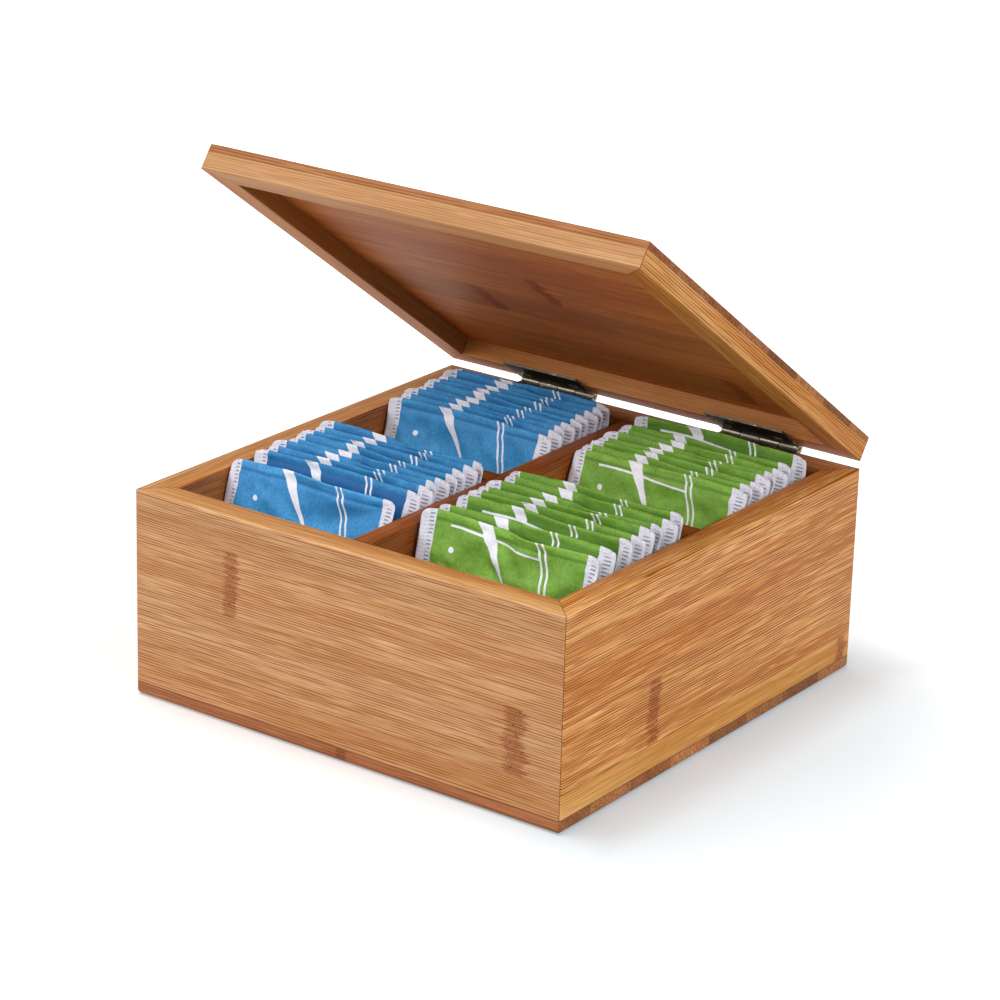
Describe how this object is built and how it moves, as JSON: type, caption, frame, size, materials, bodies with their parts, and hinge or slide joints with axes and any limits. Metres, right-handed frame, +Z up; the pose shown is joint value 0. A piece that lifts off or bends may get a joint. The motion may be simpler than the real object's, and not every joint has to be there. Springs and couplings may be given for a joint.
{
  "type": "tea box",
  "caption": "Square bamboo tea box with a hinged lid standing part open, crossed dividers and rows of upright tea sachets in blue and green paper.",
  "frame": {"origin": "centre of the underside, on the surface that the box rests on", "axes": "+X to the right along the front, +Y to the back, where the hinges are, +Z up"},
  "size_m": [0.17, 0.1752, 0.1785],
  "materials": {
    "wall_bamboo": "satin varnish",
    "base_bamboo": "satin varnish",
    "divider_bamboo": "satin varnish",
    "panel_bamboo": "satin varnish",
    "rail_bamboo": "satin varnish",
    "hinge_bronze": "antique bronze plating",
    "pin_bronze": "antique bronze plating, worn bright",
    "sachet_blue": "matte printed paper",
    "sachet_green": "matte printed paper"
  },
  "bodies": {
    "box": {"base": "base_bamboo", "wall_front": "wall_bamboo", "wall_right": "wall_bamboo", "wall_back": "wall_bamboo", "wall_left": "wall_bamboo", "divider_along": "divider_bamboo", "divider_across": "divider_bamboo", "hinge_left_box_leaf": "hinge_bronze", "hinge_right_box_leaf": "hinge_bronze", "hinge_left_pin": "pin_bronze", "hinge_right_pin": "pin_bronze", "hinge_left_box_screw_1": "pin_bronze", "hinge_left_box_screw_2": "pin_bronze", "hinge_right_box_screw_1": "pin_bronze", "hinge_right_box_screw_2": "pin_bronze", "sachet_blue_front_1": "sachet_blue", "sachet_blue_front_2": "sachet_blue", "sachet_blue_front_3": "sachet_blue", "sachet_blue_front_4": "sachet_blue", "sachet_blue_front_5": "sachet_blue", "sachet_blue_front_6": "sachet_blue", "sachet_blue_front_7": "sachet_blue", "sachet_blue_front_8": "sachet_blue", "sachet_blue_front_9": "sachet_blue", "sachet_blue_back_1": "sachet_blue", "sachet_blue_back_2": "sachet_blue", "sachet_blue_back_3": "sachet_blue", "sachet_blue_back_4": "sachet_blue", "sachet_blue_back_5": "sachet_blue", "sachet_blue_back_6": "sachet_blue", "sachet_blue_back_7": "sachet_blue", "sachet_blue_back_8": "sachet_blue", "sachet_blue_back_9": "sachet_blue", "sachet_green_front_1": "sachet_green", "sachet_green_front_2": "sachet_green", "sachet_green_front_3": "sachet_green", "sachet_green_front_4": "sachet_green", "sachet_green_front_5": "sachet_green", "sachet_green_front_6": "sachet_green", "sachet_green_front_7": "sachet_green", "sachet_green_front_8": "sachet_green", "sachet_green_back_1": "sachet_green", "sachet_green_back_2": "sachet_green", "sachet_green_back_3": "sachet_green", "sachet_green_back_4": "sachet_green", "sachet_green_back_5": "sachet_green", "sachet_green_back_6": "sachet_green", "sachet_green_back_7": "sachet_green", "sachet_green_back_8": "sachet_green"},
    "lid": {"lid_panel": "panel_bamboo", "lid_rail_front": "rail_bamboo", "lid_rail_right": "rail_bamboo", "lid_rail_back": "rail_bamboo", "lid_rail_left": "rail_bamboo", "hinge_left_lid_leaf": "hinge_bronze", "hinge_right_lid_leaf": "hinge_bronze", "hinge_left_lid_screw_1": "pin_bronze", "hinge_left_lid_screw_2": "pin_bronze", "hinge_right_lid_screw_1": "pin_bronze", "hinge_right_lid_screw_2": "pin_bronze"}
  },
  "joints": [
    {"name": "lid_hinge", "type": "hinge", "parent": "box", "child": "lid", "pos_m": [0, 0.0868, 0.072], "axis": [-1, 0, 0], "range_deg": [-35.3, 144.7]}
  ]
}
